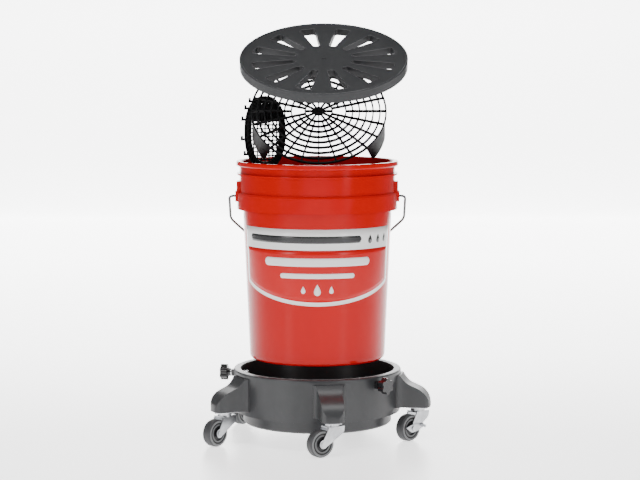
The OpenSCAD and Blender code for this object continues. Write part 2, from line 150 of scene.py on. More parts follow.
for entry in frame["record"]["subparts"]:
    mat = finishes.get(entry["material_slot"])
    obj = frame["nodes"][entry["node"]]
    if mat:
        obj.data.materials.clear()
        obj.data.materials.append(mat)
print("stage: CAD nodes finished")

# mesh helpers

def meshPiece(name, verts, faces, mat, smooth=True):
    mesh = bpy.data.meshes.new(name)
    mesh.from_pydata([tuple(v) for v in verts], [], faces)
    bm = bmesh.new()
    bm.from_mesh(mesh)
    bmesh.ops.remove_doubles(bm, verts=bm.verts, dist=1e-6)
    bmesh.ops.recalc_face_normals(bm, faces=bm.faces)
    bm.to_mesh(mesh)
    bm.free()
    for p in mesh.polygons:
        p.use_smooth = smooth
    obj = bpy.data.objects.new(name, mesh)
    bpy.context.collection.objects.link(obj)
    obj.data.materials.append(mat)
    return obj


# Turns the modifiers into plain mesh.
def apply(obj):
    graph = bpy.context.evaluated_depsgraph_get()
    graph.update()
    mesh = bpy.data.meshes.new_from_object(obj.evaluated_get(graph), depsgraph=graph)
    obj.modifiers.clear()
    obj.data = mesh
    return obj


def soften(obj, width, segments=2, angle=35):
    bevel = obj.modifiers.new("softEdges", "BEVEL")
    bevel.width = width
    bevel.segments = segments
    bevel.limit_method = "ANGLE"
    bevel.angle_limit = math.radians(angle)
    return apply(obj)


def join(name, parts, mat):
    bm = bmesh.new()
    for part in parts:
        bm.from_mesh(part.data)
    mesh = bpy.data.meshes.new(name)
    bm.to_mesh(mesh)
    bm.free()
    for part in parts:
        bpy.data.objects.remove(part)
    for p in mesh.polygons:
        p.use_smooth = True
    obj = bpy.data.objects.new(name, mesh)
    bpy.context.collection.objects.link(obj)
    obj.data.materials.append(mat)
    return obj


boxFaces = [(0, 1, 3, 2), (4, 6, 7, 5), (0, 4, 5, 1), (2, 3, 7, 6), (0, 2, 6, 4), (1, 5, 7, 3)]


# The eight corners of a bar, placed by a matrix.
def boxCorners(size, matrix):
    x, y, z = (s / 2 for s in size)
    ends = (-1, 1)
    return [matrix @ Vector((a * x, b * y, c * z)) for a in ends for b in ends for c in ends]


def boxes(name, bars, mat):
    verts, faces = [], []
    for size, matrix in bars:
        faces += [tuple(i + len(verts) for i in face) for face in boxFaces]
        verts += boxCorners(size, matrix)
    return meshPiece(name, verts, faces, mat, smooth=False)


# Turns a closed profile of (radius, height) round +Z.
def lathe(name, profile, mat, steps):
    verts, faces = [], []
    count = len(profile)
    for i in range(steps):
        a = 2 * math.pi * i / steps
        verts += [(r * math.cos(a), r * math.sin(a), z) for r, z in profile]
    for i in range(steps):
        for j in range(count):
            a, b = i * count, ((i + 1) % steps) * count
            k = (j + 1) % count
            faces.append((a + j, b + j, b + k, a + k))
    return meshPiece(name, verts, faces, mat)


# A round rod along a path, with rounded turns already in the path.
def tube(name, path, radius, mat, sides=16):
    verts, faces = [], []
    for i, p in enumerate(path):
        ahead = (path[min(i + 1, len(path) - 1)] - path[max(i - 1, 0)]).normalized()
        side = ahead.cross(Vector((0, 1, 0.01))).normalized()
        up = side.cross(ahead)
        for j in range(sides):
            a = 2 * math.pi * j / sides
            verts.append(p + radius * (math.cos(a) * side + math.sin(a) * up))
    for i in range(len(path) - 1):
        for j in range(sides):
            k = (j + 1) % sides
            faces.append((i * sides + j, i * sides + k, (i + 1) * sides + k, (i + 1) * sides + j))
    faces.append(tuple(range(sides)))
    faces.append(tuple((len(path) - 1) * sides + j for j in reversed(range(sides))))
    return meshPiece(name, verts, faces, mat)


# The corners joined by straight runs, with each turn rounded.
def roundedPath(corners, radius, steps=8):
    path = [corners[0]]
    for a, b, c in zip(corners, corners[1:], corners[2:]):
        before, after = (a - b).normalized(), (c - b).normalized()
        cutBack = min(radius, (a - b).length * 0.45, (c - b).length * 0.45)
        start, end = b + before * cutBack, b + after * cutBack
        shares = [i / steps for i in range(steps + 1)]
        path += [start.lerp(b, t).lerp(b.lerp(end, t), t) for t in shares]
    path.append(corners[-1])
    return path


# geometry nodes helpers

def newTree(name, inputs):
    tree = bpy.data.node_groups.new(name, "GeometryNodeTree")
    tree.interface.new_socket("Geometry", in_out="OUTPUT", socket_type="NodeSocketGeometry")
    kinds = {int: "NodeSocketInt", float: "NodeSocketFloat"}
    for label, value in inputs.items():
        socket = tree.interface.new_socket(label, in_out="INPUT", socket_type=kinds[type(value)])
        socket.default_value = value
    return tree, tree.nodes.new("NodeGroupInput"), tree.nodes.new("NodeGroupOutput")


def maths(tree, operation, a, b):
    n = tree.nodes.new("ShaderNodeMath")
    n.operation = operation
    for i, value in enumerate((a, b)):
        if isinstance(value, (int, float)):
            n.inputs[i].default_value = value
        else:
            tree.links.new(value, n.inputs[i])
    return n.outputs[0]


# Runs the tree on an empty mesh, with its inputs set by identifier, and keeps the plain mesh.
def runTree(name, tree, inputs, mat):
    obj = bpy.data.objects.new(name, bpy.data.meshes.new(name))
    bpy.context.collection.objects.link(obj)
    modifier = obj.modifiers.new("nodes", "NODES")
    modifier.node_group = tree
    for item in tree.interface.items_tree:
        if item.in_out == "INPUT" and item.name in inputs:
            modifier[item.identifier] = inputs[item.name]
    apply(obj)
    if not obj.data.materials:
        obj.data.materials.append(mat)
    return obj


def closeTree(tree, geometry, output, mat):
    real = tree.nodes.new("GeometryNodeRealizeInstances")
    paint = tree.nodes.new("GeometryNodeSetMaterial")
    paint.inputs["Material"].default_value = mat
    tree.links.new(geometry, real.inputs[0])
    tree.links.new(real.outputs[0], paint.inputs["Geometry"])
    tree.links.new(paint.outputs[0], output.inputs[0])


# Bars of one length set round a circle, each pointing outward.
def spokesTree(name, mat):
    tree, given, output = newTree(name, {"Count": 24, "Inner": 0.01, "Outer": 0.1,
                                         "Width": 0.002, "Depth": 0.005, "Skip": 0})
    n, link = tree.nodes, tree.links.new
    g = given.outputs
    length = maths(tree, "SUBTRACT", g["Outer"], g["Inner"])
    middle = maths(tree, "MULTIPLY", maths(tree, "ADD", g["Outer"], g["Inner"]), 0.5)
    size = n.new("ShaderNodeCombineXYZ")
    link(length, size.inputs[0])
    link(g["Width"], size.inputs[1])
    link(g["Depth"], size.inputs[2])
    bar = n.new("GeometryNodeMeshCube")
    link(size.outputs[0], bar.inputs["Size"])
    shift = n.new("ShaderNodeCombineXYZ")
    link(middle, shift.inputs[0])
    move = n.new("GeometryNodeTransform")
    link(bar.outputs["Mesh"], move.inputs["Geometry"])
    link(shift.outputs[0], move.inputs["Translation"])
    points = n.new("GeometryNodePoints")
    link(g["Count"], points.inputs["Count"])
    index = n.new("GeometryNodeInputIndex").outputs[0]
    angle = maths(tree, "DIVIDE", maths(tree, "MULTIPLY", index, 2 * math.pi), g["Count"])
    turn = n.new("ShaderNodeCombineXYZ")
    link(angle, turn.inputs[2])
    # with Skip set, the bars at the two finger openings are left out
    half = maths(tree, "DIVIDE", g["Count"], 2)
    inOpening = maths(tree, "COMPARE", maths(tree, "MODULO", index, half), 0)
    keep = maths(tree, "SUBTRACT", 1, maths(tree, "MULTIPLY", inOpening, g["Skip"]))
    place = n.new("GeometryNodeInstanceOnPoints")
    link(points.outputs[0], place.inputs["Points"])
    link(keep, place.inputs["Selection"])
    link(move.outputs[0], place.inputs["Instance"])
    link(turn.outputs[0], place.inputs["Rotation"])
    closeTree(tree, place.outputs[0], output, mat)
    return tree


# Concentric hoops of one pitch, each a flat band swept round a circle.
def hoopsTree(name, mat):
    tree, given, output = newTree(name, {"Count": 8, "First": 0.025, "Pitch": 0.0127, "Width": 0.002,
                                         "Depth": 0.005, "Sweep": 360.0, "Start": 0.0})
    n, link = tree.nodes, tree.links.new
    g = given.outputs
    arc = n.new("GeometryNodeCurveArc")
    arc.inputs["Resolution"].default_value = 97
    arc.inputs["Radius"].default_value = 1.0
    link(maths(tree, "MULTIPLY", g["Start"], math.pi / 180), arc.inputs["Start Angle"])
    link(maths(tree, "MULTIPLY", g["Sweep"], math.pi / 180), arc.inputs["Sweep Angle"])
    points = n.new("GeometryNodePoints")
    link(g["Count"], points.inputs["Count"])
    index = n.new("GeometryNodeInputIndex").outputs[0]
    radius = maths(tree, "ADD", g["First"], maths(tree, "MULTIPLY", index, g["Pitch"]))
    place = n.new("GeometryNodeInstanceOnPoints")
    link(points.outputs[0], place.inputs["Points"])
    link(arc.outputs[0], place.inputs["Instance"])
    link(radius, place.inputs["Scale"])
    real = n.new("GeometryNodeRealizeInstances")
    link(place.outputs[0], real.inputs[0])
    band = n.new("GeometryNodeCurvePrimitiveQuadrilateral")
    link(g["Width"], band.inputs["Width"])
    link(g["Depth"], band.inputs["Height"])
    sweepMesh = n.new("GeometryNodeCurveToMesh")
    sweepMesh.inputs["Fill Caps"].default_value = True
    link(real.outputs[0], sweepMesh.inputs["Curve"])
    link(band.outputs[0], sweepMesh.inputs["Profile Curve"])
    closeTree(tree, sweepMesh.outputs[0], output, mat)
    return tree


def place(obj, matrix):
    obj.data.transform(matrix)
    return obj


# grit guard

guard = {"radius": 126.5 * mm, "rays": 24, "innerRays": 12, "ribWidth": 2.3 * mm, "ribDepth": 5 * mm,
         "hub": 10 * mm, "hubBore": 0.5 * mm, "tilt": 47.0, "centre": (2.5 * mm, 0, 579 * mm),
         "hoops": 10, "legDepth": 52 * mm, "legWall": 2.6 * mm, "rimWidth": 3.0 * mm,
         "legs": (((-46, -14), (-37, -10)), ((194, 226), (190, 217)), ((74, 106), (78, 102)))}


def guardWeb(mat):
    pitch = guard["radius"] / guard["hoops"]
    spokes, hoops = spokesTree("guardSpokes", mat), hoopsTree("guardHoops", mat)
    band = {"Width": guard["ribWidth"], "Depth": guard["ribDepth"]}
    rays = (("innerRays", guard["innerRays"], guard["hub"] - mm, 2 * pitch, 0),
            ("middleRays", guard["rays"], 2 * pitch, 4 * pitch, 1),
            ("outerRays", guard["rays"], 4 * pitch, guard["radius"] - mm, 0))
    parts = []
    for name, count, inner, outer, skip in rays:
        given = {**band, "Count": count, "Inner": inner, "Outer": outer, "Skip": skip}
        parts.append(runTree(name, spokes, given, mat))
    # the third hoop is open at the two finger openings
    rings = (("innerHoop", 1, 2, 360.0, 0.0), ("outerHoops", 6, 4, 360.0, 0.0),
             ("splitHoop", 1, 3, 150.0, 15.0), ("splitHoop", 1, 3, 150.0, 195.0))
    for name, count, first, arc, start in rings:
        given = {**band, "Pitch": pitch, "Count": count, "First": first * pitch, "Sweep": arc, "Start": start}
        parts.append(runTree(name, hoops, given, mat))
    return parts


def makeGuard():
    mat = finishes["insert_plastic"]
    parts = guardWeb(mat)
    r, h, hub, bore = guard["radius"], guard["ribDepth"] / 2, guard["hub"], guard["hubBore"]
    rimIn = r - guard["rimWidth"]
    parts.append(soften(lathe("guardRim", [(rimIn, -h), (r, -h), (r, h), (rimIn, h)], mat, 160), 0.6 * mm))
    hubProfile = [(bore, -h), (hub - mm, -h), (hub, -h + mm), (hub, h - mm), (hub - mm, h),
                  (hub * 0.6, h + 0.3 * mm), (bore, h)]
    parts.append(lathe("guardHub", hubProfile, mat, 48))
    for top, low in guard["legs"]:
        parts.append(guardLeg(top, low, mat))
    web = join("gritGuardWeb", parts, mat)
    place(web, Matrix.Translation((0, 0, -h)))
    place(web, Matrix.Translation(guard["centre"]) @ Matrix.Rotation(math.radians(guard["tilt"]), 4, "X"))
    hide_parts("grit_guard")
    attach(web, "guard")


def guardLeg(top, low, mat):
    across, down = 14, 10
    outer, inner = guard["radius"] - 0.2 * mm, guard["radius"] - guard["legWall"]
    verts, faces = [], []
    for j in range(down + 1):
        t = j / down
        # the foot's corners are rounded off
        pinch = 0.10 * (1 - math.cos(math.pi * max(0, t - 0.75) * 2))
        a0 = top[0] + (low[0] - top[0]) * t
        a1 = top[1] + (low[1] - top[1]) * t
        middle, reach = (a0 + a1) / 2, (a1 - a0) / 2 * (1 - pinch)
        z = -guard["legDepth"] * t + guard["ribDepth"] * 0.3
        for i in range(across + 1):
            a = math.radians(middle + reach * (2 * i / across - 1))
            for r in (outer, inner):
                verts.append((r * math.cos(a), r * math.sin(a), z))
    row = 2 * (across + 1)
    for j in range(down):
        for i in range(across):
            p, q = j * row + 2 * i, (j + 1) * row + 2 * i
            faces += [(p, p + 2, q + 2, q), (p + 1, q + 1, q + 3, p + 3)]
        for e in (0, 2 * across):
            p, q = j * row + e, (j + 1) * row + e
            faces.append((p, q, q + 1, p + 1))
    for j in (0, down):
        for i in range(across):
            p = j * row + 2 * i
            faces.append((p, p + 1, p + 3, p + 2))
    return soften(meshPiece("guardLeg", verts, faces, mat), 0.5 * mm, 2, 50)


makeGuard()
print("stage: grit guard made")

# the dolly's moulding with soft edges, from a merged copy of its CAD mesh

dollyEdges = {"node": "dolly_base", "width": 1.6 * mm, "segments": 3, "merge": 0.01 * mm, "flat": 1.5,
              "sharp": 28.0, "weight": 100}


def makeDolly():
    source = frame["nodes"][dollyEdges["node"]]
    name = dollyEdges["node"] + "Soft"
    bm = bmesh.new()
    bm.from_mesh(source.data)
    bmesh.ops.remove_doubles(bm, verts=bm.verts, dist=dollyEdges["merge"])
    bmesh.ops.dissolve_limit(bm, angle_limit=math.radians(dollyEdges["flat"]), verts=bm.verts, edges=bm.edges)
    mesh = bpy.data.meshes.new(name)
    bm.to_mesh(mesh)
    bm.free()
    mesh.materials.append(finishes["dolly_plastic"])
    for p in mesh.polygons:
        p.use_smooth = True
    piece = bpy.data.objects.new(name, mesh)
    bpy.context.collection.objects.link(piece)
    bevel = piece.modifiers.new("softEdges", "BEVEL")
    bevel.width = dollyEdges["width"]
    bevel.segments = dollyEdges["segments"]
    bevel.limit_method = "ANGLE"
    bevel.angle_limit = math.radians(dollyEdges["sharp"])
    flatten = piece.modifiers.new("flatFaces", "WEIGHTED_NORMAL")
    flatten.keep_sharp = False
    flatten.weight = dollyEdges["weight"]
    apply(piece)
    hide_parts(dollyEdges["node"])
    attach(piece, "dolly")


makeDolly()
print("stage: soft edges made")

# bead round the top of the lid, and a lip round each slot, in a lighter grey than the lid as a painted
# highlight on its edges

lidTop = {"radius": 152.6 * mm, "height": 4.4 * mm, "bead": 0.9 * mm, "lip": 0.55 * mm, "slots": 12,
          "slotIn": 53 * mm, "slotOut": 133 * mm, "slotHalfIn": 7 * mm, "slotHalfOut": 15 * mm,
          "corner": 5 * mm, "plate": 3 * mm, "tilt": 24.3, "skew": 3.6, "rise": 187 * mm,
          "closed": 486.4 * mm, "beadSteps": 160}


# Takes the lid's own level frame to its raised place.
def raisedLid():
    tilt, skew = math.radians(lidTop["tilt"]), math.radians(lidTop["skew"])
    arm = lidTop["rise"] / math.sin(tilt)
    lift = Matrix.Translation((0, -arm, lidTop["closed"])) @ Matrix.Rotation(skew, 4, "Y")
    unturned = Matrix.Rotation(-skew, 4, "Y") @ Matrix.Translation((0, arm, 0))
    return lift @ Matrix.Rotation(tilt, 4, "X") @ unturned


# One slot's outline, along +X.
def slotPath():
    c = lidTop["corner"]
    corners = []
    xIn, xOut = lidTop["slotIn"] + c, lidTop["slotOut"] - c
    yIn, yOut = lidTop["slotHalfIn"] - c, lidTop["slotHalfOut"] - c
    turns = ((xOut, yOut, 0, 84), (xIn, yIn, 96, 180), (xIn, -yIn, 180, 264), (xOut, -yOut, 276, 360))
    for x, y, a0, a1 in turns:
        for i in range(5):
            a = math.radians(a0 + (a1 - a0) * i / 4)
            corners.append(Vector((x + c * math.cos(a), y + c * math.sin(a), 0)))
    return corners


# A round rod along a flat closed loop.
def loopRod(name, path, radius, mat, sides=8):
    verts, faces = [], []
    count = len(path)
    for i, p in enumerate(path):
        ahead = (path[(i + 1) % count] - path[i - 1]).normalized()
        side = ahead.cross(Vector((0, 0, 1)))
        for j in range(sides):
            a = 2 * math.pi * j / sides
            verts.append(p + radius * (math.cos(a) * side + math.sin(a) * Vector((0, 0, 1))))
    for i in range(count):
        for j in range(sides):
            k, n = (j + 1) % sides, (i + 1) % count
            faces.append((i * sides + j, i * sides + k, n * sides + k, n * sides + j))
    return meshPiece(name, verts, faces, mat)


def makeLidEdges():
    # a lighter grey than the lid's own plastic: the painted highlight along the bead and the slot lips
    mat = finish("lidPolishedEdge", (0.055, 0.056, 0.059), (0.075, 0.077, 0.08), (0.2, 0.3), 700, 0.08,
                 coarse=14)
    bead, steps = lidTop["bead"], lidTop["beadSteps"]
    angles = [2 * math.pi * i / steps for i in range(steps)]
    ring = [Vector((math.cos(a), math.sin(a), 0)) * lidTop["radius"] for a in angles]
    level = Matrix.Translation((0, 0, lidTop["height"] - bead * 0.4))
    parts = [place(loopRod("lidBead", ring, bead, mat), level)]
    lipLevel = Matrix.Translation((0, 0, lidTop["plate"] - lidTop["lip"] * 0.3))
    for i in range(lidTop["slots"]):
        turn = Matrix.Rotation(2 * math.pi * (i + 0.5) / lidTop["slots"], 4, "Z")
        parts.append(place(loopRod("slotLip", slotPath(), lidTop["lip"], mat), turn @ lipLevel))
    edges = place(join("lidEdges", parts, mat), raisedLid())
    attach(edges, "lid")


makeLidEdges()
print("stage: lid edges made")

# rings on both sides of each wheel: a pale sidewall, a dark groove and a bead on the hub

sidewall = {"half": 9.0, "hubHalf": 8.5, "pale": (19.6, 23.2), "groove": (17.3, 19.4), "hub": (13.6, 16.6),
            "raised": 0.5, "shallow": 0.12, "steps": 64,
            "bulge": ((0.0, -0.4), (0.0, 0.4), (0.22, 0.82), (0.5, 1.0), (0.78, 0.82), (1.0, 0.4),
                      (1.0, -0.4))}
paleRing = finish("tyreSidewall", (0.13, 0.132, 0.136), (0.19, 0.192, 0.196), (0.42, 0.58), 700, 0.2,
                  coarse=40)
darkGroove = finish("tyreGroove", (0.004, 0.004, 0.004), (0.008, 0.008, 0.008), (0.5, 0.7), 700, 0.1,
                    coarse=40)
hubBead = finish("hubBead", (0.09, 0.092, 0.095), (0.14, 0.142, 0.146), (0.36, 0.5), 700, 0.15, coarse=40)
rings = (("sidewallRing", sidewall["pale"], sidewall["half"], sidewall["raised"], paleRing),
         ("sidewallGroove", sidewall["groove"], sidewall["half"], sidewall["shallow"], darkGroove),
         ("hubBead", sidewall["hub"], sidewall["hubHalf"], sidewall["raised"], hubBead))


# A closed ring with a low round top, on one side of a wheel. Its sizes are in millimetres.
def wheelRing(name, joint, side, radii, base, rise, mat):
    inner, outer = radii
    centre = Vector(joint["pos_m"])
    turn = Vector((0, 0, 1)).rotation_difference(Vector(joint["axis"])).to_matrix().to_4x4()
    profile = []
    for across, height in sidewall["bulge"]:
        radius = (inner + (outer - inner) * across) * mm
        profile.append((radius, side * (base + rise * height) * mm))
    piece = lathe(name, profile, mat, sidewall["steps"])
    place(piece, Matrix.Translation(centre) @ turn)
    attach(piece, joint["child"])


for joint in frame["record"]["behaviour"]["joints"]:
    if not joint["name"].startswith("wheel_"):
        continue
    for side, word in ((1, "Near"), (-1, "Far")):
        mark = "%s_%s" % (word, joint["name"][-1])
        for name, radii, base, rise, mat in rings:
            wheelRing(name + mark, joint, side, radii, base, rise, mat)
print("stage: wheel rings made")

# washboard

board = {"half": 39 * mm, "height": 137 * mm, "thick": 7 * mm, "centre": (-98 * mm, 38 * mm, 536 * mm),
         "border": 13.5 * mm, "rim": 2.2 * mm, "windowRim": 1.8 * mm, "windowStep": 0.8 * mm, "web": 1.4 * mm,
         "pitch": 7.2 * mm, "bar": 3.1 * mm, "power": 0.85, "uprights": 4, "lowest": -68, "highest": 58,
         "ribCount": 46, "rib": 1.7 * mm, "ribSlant": 0.05, "solidFrom": 22 * mm, "slabs": 26,
         "slab": 2.2 * mm, "gripPitch": 5.2 * mm, "gripRib": 1.8 * mm, "hook": 9 * mm, "hookThick": 4.2 * mm,
         "hookRoot": 2 * mm, "hookAngles": (124, 142, 163, 188, 213)}


def boardPoint(grow, angle):
    c, s = math.cos(angle), math.sin(angle)
    x = (board["half"] + grow) * math.copysign(abs(c) ** board["power"], c)
    z = (board["height"] / 2 + grow) * math.copysign(abs(s) ** board["power"], s)
    return x, z


# A flat oval band between two outlines, from front to back.
def boardBand(name, outer, inner, front, back, mat, steps=120):
    verts, faces = [], []
    for i in range(steps):
        a = 2 * math.pi * i / steps
        (xo, zo), (xi, zi) = boardPoint(-outer, a), boardPoint(-inner, a)
        verts += [(xo, front, zo), (xi, front, zi), (xi, back, zi), (xo, back, zo)]
    for i in range(steps):
        p, q = 4 * i, 4 * ((i + 1) % steps)
        faces += [(p + j, p + (j + 1) % 4, q + (j + 1) % 4, q + j) for j in range(4)]
    return meshPiece(name, verts, faces, mat)


# Half the window's width at a height, or 0 outside it.
def windowHalf(z):
    inset = board["border"]
    t = abs(z) / (board["height"] / 2 - inset)
    if t >= 1:
        return 0
    return (board["half"] - inset) * (1 - t ** (2 / board["power"])) ** (board["power"] / 2)


def barAt(size, x, y, z):
    return size, Matrix.Translation((x, y, z))


# The heights, a millimetre apart, where the window is wider than halfWidth on each side.
def heightsInside(lowest, highest, halfWidth):
    return [z * mm for z in range(lowest, highest) if windowHalf(z * mm) > halfWidth]


# Slanted ribs across the border.
def boardRibs(half):
    bars = []
    slant = board["ribSlant"]
    for i in range(board["ribCount"]):
        a = 2 * math.pi * (i + 0.5) / board["ribCount"]
        xo, zo = boardPoint(-board["rim"], a + slant)
        xi, zi = boardPoint(-board["border"] + mm, a - slant)
        run = Vector((xo - xi, 0, zo - zi))
        turn = Matrix.Rotation(-math.atan2(run.z, run.x), 4, "Y")
        middle = Matrix.Translation(((xo + xi) / 2, -half * 0.25, (zo + zi) / 2))
        bars.append(((run.length + mm, half * 1.3, board["rib"]), middle @ turn))
    return bars


# Level and upright bars of the mesh, up to the solid grip.
def boardMesh():
    bars = []
    pitch, thick, top = board["pitch"], board["bar"], board["solidFrom"]
    count = int(board["height"] / pitch / 2) + 1
    for k in range(-count, count + 1):
        z = k * pitch
        reach = windowHalf(z)
        if reach and z < top:
            bars.append(barAt((2 * reach + 2 * mm, thick, thick * 0.8), 0, 0, z))
    for k in range(-board["uprights"], board["uprights"] + 1):
        x = k * pitch
        zs = heightsInside(board["lowest"], int(top / mm) + 1, abs(x))
        if len(zs) > 2:
            bars.append(barAt((thick * 0.8, thick, zs[-1] - zs[0] + 2 * mm), x, 0, (zs[0] + zs[-1]) / 2))
    return bars


# The solid grip over the mesh, in slabs that follow the window, and the upright ribs on it.
def boardGrip(half):
    bars = []
    top, slabs = board["solidFrom"], board["slabs"]
    zTop = board["height"] / 2 - board["border"]
    for k in range(slabs):
        z = top + (zTop - top) * (k + 0.5) / slabs
        reach = windowHalf(z)
        if reach:
            size = (2 * reach + 2 * mm, board["slab"], (zTop - top) / slabs + 0.01 * mm)
            bars.append(barAt(size, 0, 0.4 * mm, z))
    for k in range(-board["uprights"], board["uprights"] + 1):
        x = k * board["gripPitch"]
        zs = heightsInside(int(top / mm), board["highest"], abs(x) + mm)
        if len(zs) > 4:
            size = (board["gripRib"], half * 1.5, zs[-1] - zs[0])
            bars.append(barAt(size, x, -half * 0.2, (zs[0] + zs[-1]) / 2))
    return bars


def boardHooks():
    bars = []
    t, reach, root = board["hookThick"], board["hook"], board["hookRoot"]
    for angle in board["hookAngles"]:
        x, z = boardPoint(0, math.radians(angle))
        bars.append(barAt((reach, t, t), x - reach / 2 + root, 0, z))
        bars.append(barAt((t, t, 2 * t), x - reach + root + t / 2, 0, z + t / 2))
    return bars


def makeBoard():
    mat = finishes["insert_plastic"]
    half, border, web = board["thick"] / 2, board["border"], board["web"] / 2
    inner = half - board["windowStep"]
    parts = [
        soften(boardBand("boardRim", 0, board["rim"], -half, half, mat), 0.5 * mm),
        soften(boardBand("windowRim", border - board["windowRim"], border, -inner, inner, mat), 0.4 * mm),
        boardBand("borderWeb", board["rim"] - 0.4 * mm, border - 1.4 * mm, mm - web, mm + web, mat),
    ]
    bars = boardRibs(half) + boardMesh() + boardGrip(half) + boardHooks()
    parts.append(soften(boxes("boardBars", bars, mat), 0.35 * mm))
    whole = join("washboardPlate", parts, mat)
    place(whole, Matrix.Translation(board["centre"]))
    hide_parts("washboard")
    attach(whole, "board")


makeBoard()
print("stage: washboard made")

# bail

bail = {"wire": 4.5 * mm, "reach": 205 * mm, "half": 164 * mm, "side": 72 * mm, "mid": 82 * mm,
        "pivot": 420 * mm, "rest": 49.0, "start": 142.4 * mm, "turn": 11 * mm, "grip": 24 * mm,
        "gripLength": 110 * mm, "grooves": 11, "fit": 0.05 * mm, "shoulder": 2.4 * mm}


# The grip's closed outline of (radius, height), with shallow grooves along it.
def gripProfile():
    radius, end = bail["grip"] / 2, bail["gripLength"] / 2
    bore, neck = bail["wire"] / 2 + bail["fit"], radius - bail["shoulder"]
    steps = bail["grooves"] * 8
    profile = [(bore, -end), (neck, -end), (radius - mm, -end + mm)]
    for i in range(steps + 1):
        wave = abs(math.sin(math.pi * bail["grooves"] * i / steps)) ** 0.5
        profile.append((radius * (0.93 + 0.07 * wave), bail["gripLength"] * (0.94 * (i / steps - 0.5))))
    return profile + [(radius - mm, end - mm), (neck, end), (bore, end)]


def makeBail():
    hang = Matrix.Translation((0, 0, bail["pivot"])) @ Matrix.Rotation(math.radians(bail["rest"]), 4, "X")
    half, reach = bail["half"], bail["reach"]
    right = [Vector((bail["start"], 0, 0)), Vector((half, 0, 0)), Vector((half, 0, -bail["side"])),
             Vector((bail["mid"], 0, -reach))]
    corners = [Vector((-p.x, 0, p.z)) for p in right] + right[::-1]
    wire = tube("bailWireRod", roundedPath(corners, bail["turn"]), bail["wire"] / 2, finishes["wire_steel"])
    place(wire, hang)
    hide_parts("bail_wire")
    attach(wire, "bail")
    grip = lathe("bailGripRoller", gripProfile(), finishes["grip_plastic"], 48)
    place(grip, hang @ Matrix.Translation((0, 0, -reach)) @ Matrix.Rotation(math.pi / 2, 4, "Y"))
    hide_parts("bail_grip")
    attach(grip, "grip")


makeBail()
print("stage: bail made")

# label: plain bars and drops on a white panel

label = {"lift": 117 * mm, "top": 252 * mm, "lowMiddle": 112 * mm, "lowSide": 150 * mm, "halfArc": 72.0,
         "border": 7 * mm, "redTop": 214 * mm, "foot": 126.5 * mm, "kink": 130 * mm, "kinkHeight": 90 * mm,
         "waist": 138.5 * mm, "waistHeight": 280 * mm, "round": 134 * mm, "thick": 0.2 * mm,
         "panelOut": 0.35 * mm, "printOut": 0.5 * mm, "topOut": 0.65 * mm}


# The pail's outer radius at a height above its foot.
def wallRadius(h):
    if h < label["kinkHeight"]:
        return label["foot"] + (label["kink"] - label["foot"]) * h / label["kinkHeight"]
    t = (h - label["kinkHeight"]) / (label["waistHeight"] - label["kinkHeight"])
    return label["kink"] + (label["waist"] - label["kink"]) * t


# A point on the pail's wall: s is the distance round from the front, h the height above the foot.
def onWall(s, h, offset):
    a = s / label["round"]
    r = wallRadius(h) + offset
    return (r * math.sin(a), -r * math.cos(a), h + label["lift"])


# A thin print between two edges, each a function of the distance round the wall.
def patch(name, s0, s1, low, high, offset, mat, across=72, up=10):
    verts, faces = [], []
    for layer in (offset, offset - label["thick"]):
        for i in range(across + 1):
            s = s0 + (s1 - s0) * i / across
            for j in range(up + 1):
                verts.append(onWall(s, low(s) + (high(s) - low(s)) * j / up, layer))
    rows, sheet = up + 1, (across + 1) * (up + 1)
    for i in range(across):
        for j in range(up):
            p = i * rows + j
            q = p + sheet
            faces += [(p, p + rows, p + rows + 1, p + 1), (q, q + 1, q + rows + 1, q + rows)]
        for j in (0, up):
            p = i * rows + j
            faces.append((p, p + sheet, p + sheet + rows, p + rows))
    for i in (0, across):
        for j in range(up):
            p = i * rows + j
            faces.append((p, p + 1, p + sheet + 1, p + sheet))
    piece = meshPiece(name, verts, faces, mat)
    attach(piece, "bucket")
    return piece


# A bar with round ends.
def bar(name, s0, s1, middle, height, offset, mat):
    r = height / 2

    def reach(s):
        d = max(0.0, s0 + r - s, s - (s1 - r))
        return math.sqrt(max(r * r - d * d, 0.0)) + 0.02 * mm

    patch(name, s0, s1, lambda s: middle - reach(s), lambda s: middle + reach(s), offset, mat, 96, 4)


# A water drop with its point up.
def drop(name, s, h, size, offset, mat):
    def outline(t):
        a = 2 * math.pi * t
        return size * math.sin(a) * math.sin(a / 2) ** 1.3, -size * 1.25 * math.cos(a)

    count = 40
    verts, faces = [], []
    for layer in (offset, offset - label["thick"]):
        verts.append(onWall(s, h, layer))
        for i in range(count):
            x, y = outline((i / count + 0.5) % 1.0)
            verts.append(onWall(s + x, h - y, layer))
    for i in range(count):
        a, b = 1 + i, 1 + (i + 1) % count
        farA, farB = count + 1 + a, count + 1 + b
        faces += [(0, a, b), (count + 1, farB, farA), (a, farA, farB, b)]
    piece = meshPiece(name, verts, faces, mat)
    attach(piece, "bucket")


